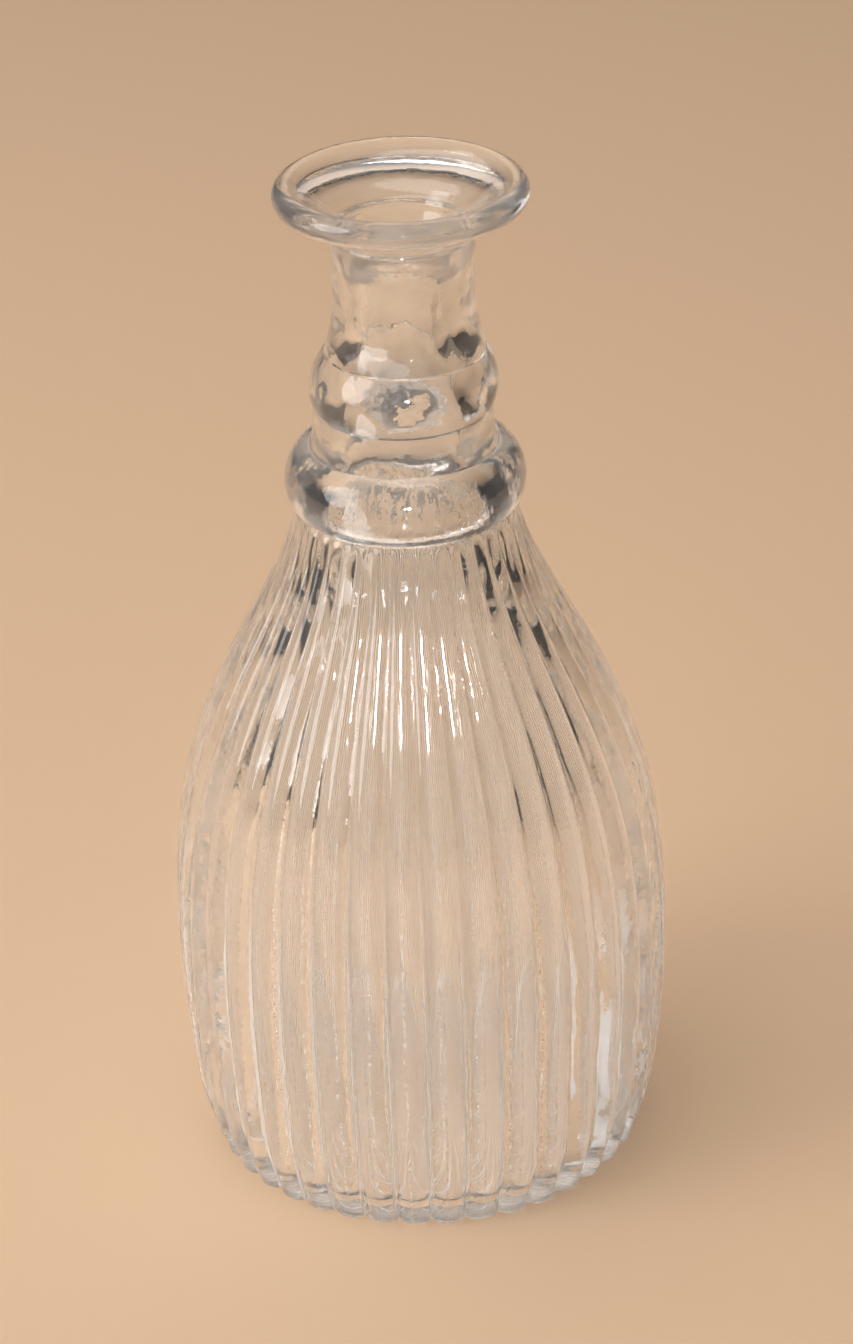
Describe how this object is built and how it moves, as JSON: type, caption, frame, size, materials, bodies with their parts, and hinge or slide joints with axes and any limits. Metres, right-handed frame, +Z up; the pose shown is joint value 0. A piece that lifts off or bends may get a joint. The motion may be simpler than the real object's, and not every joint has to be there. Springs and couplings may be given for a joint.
{
  "type": "ribbed glass bottle",
  "caption": "Clear glass bottle with a rib-moulded body, scalloped foot, thick plain neck with soft applied rings, and a wide dished pouring lip. Open and empty.",
  "frame": {"origin": "centre of the foot, on the plane that the bottle rests on", "axes": "+Z up along the bottle's axis, from the foot to the mouth; +X and +Y are in the resting plane, with +X on a groove between two ribs"},
  "size_m": [0.106, 0.106, 0.22],
  "materials": {
    "clear_glass": "clear colourless lead glass, glossy, slightly uneven"
  },
  "bodies": {
    "root": {"ribbed_body": "clear_glass", "neck": "clear_glass", "shoulder_ring": "clear_glass", "neck_ring": "clear_glass", "pouring_lip": "clear_glass"}
  },
  "joints": []
}
